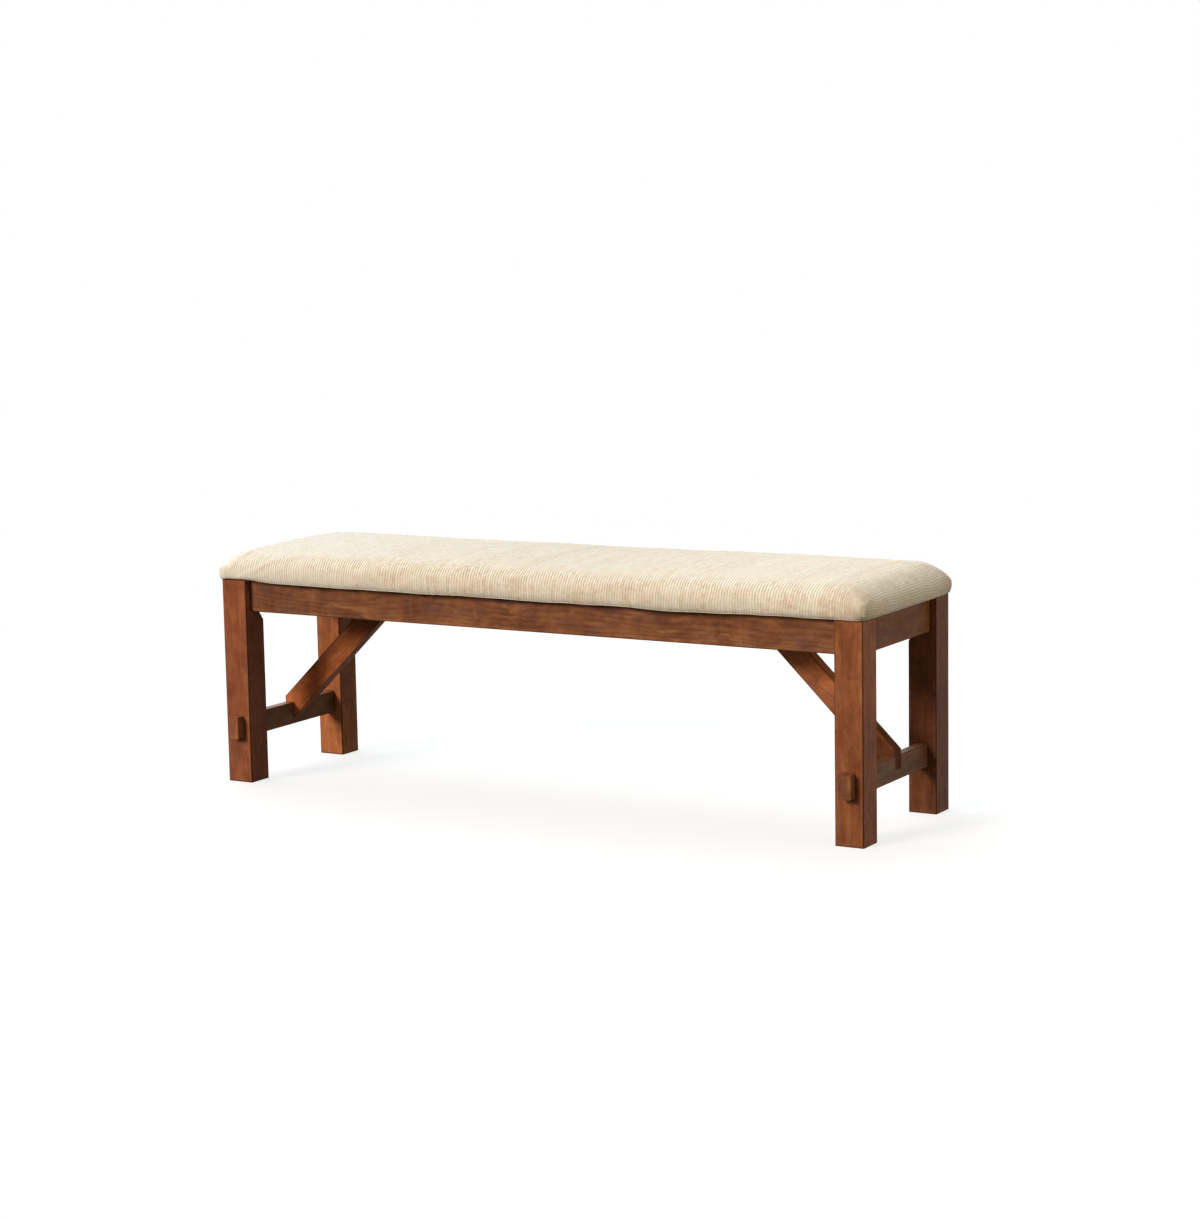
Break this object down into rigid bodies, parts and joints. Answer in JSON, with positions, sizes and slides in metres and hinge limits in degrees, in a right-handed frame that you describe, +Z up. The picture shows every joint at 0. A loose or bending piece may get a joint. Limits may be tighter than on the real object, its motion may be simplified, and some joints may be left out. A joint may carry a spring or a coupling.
{
  "type": "dining bench",
  "caption": "Backless upholstered dining bench on square wooden legs with low end stretchers and diagonal braces.",
  "frame": {"origin": "on the floor under the middle of the bench", "axes": "+X along the length to the right end, -Y to the front, +Z up"},
  "size_m": [1.5296, 0.44, 0.509],
  "materials": {
    "stained_wood": "satin stained hardwood with a clear coat",
    "plain_wood": "unfinished hardwood",
    "dowel_wood": "unfinished beech",
    "plywood": "unfinished plywood",
    "steel": "zinc plated",
    "foam": "open cell foam",
    "wadding": "polyester wadding",
    "chenille": "ribbed chenille",
    "dust_cloth": "black non-woven cloth"
  },
  "bodies": {
    "root": {"leg_front_left": "stained_wood", "leg_front_right": "stained_wood", "leg_back_left": "stained_wood", "leg_back_right": "stained_wood", "long_rail_front": "stained_wood", "long_rail_back": "stained_wood", "end_rail_left": "stained_wood", "end_rail_right": "stained_wood", "brace_rail_left": "stained_wood", "brace_rail_right": "stained_wood", "end_stretcher_left": "stained_wood", "end_stretcher_right": "stained_wood", "brace_left": "stained_wood", "brace_right": "stained_wood", "tenon_cap_front_left": "stained_wood", "tenon_cap_front_right": "stained_wood", "tenon_cap_back_left": "stained_wood", "tenon_cap_back_right": "stained_wood", "centre_rail": "plain_wood", "corner_block_front_left": "plain_wood", "corner_block_front_right": "plain_wood", "corner_block_back_left": "plain_wood", "corner_block_back_right": "plain_wood", "rail_dowels": "dowel_wood", "hanger_bolts": "steel", "hanger_washers": "steel", "hanger_nuts": "steel", "block_screws": "steel", "brace_head_screws": "steel", "brace_toe_screws": "steel", "seat_screws": "steel", "seat_board": "plywood", "foam_pad": "foam", "wadding": "wadding", "seat_cover": "chenille", "dust_cover": "dust_cloth"}
  },
  "joints": []
}
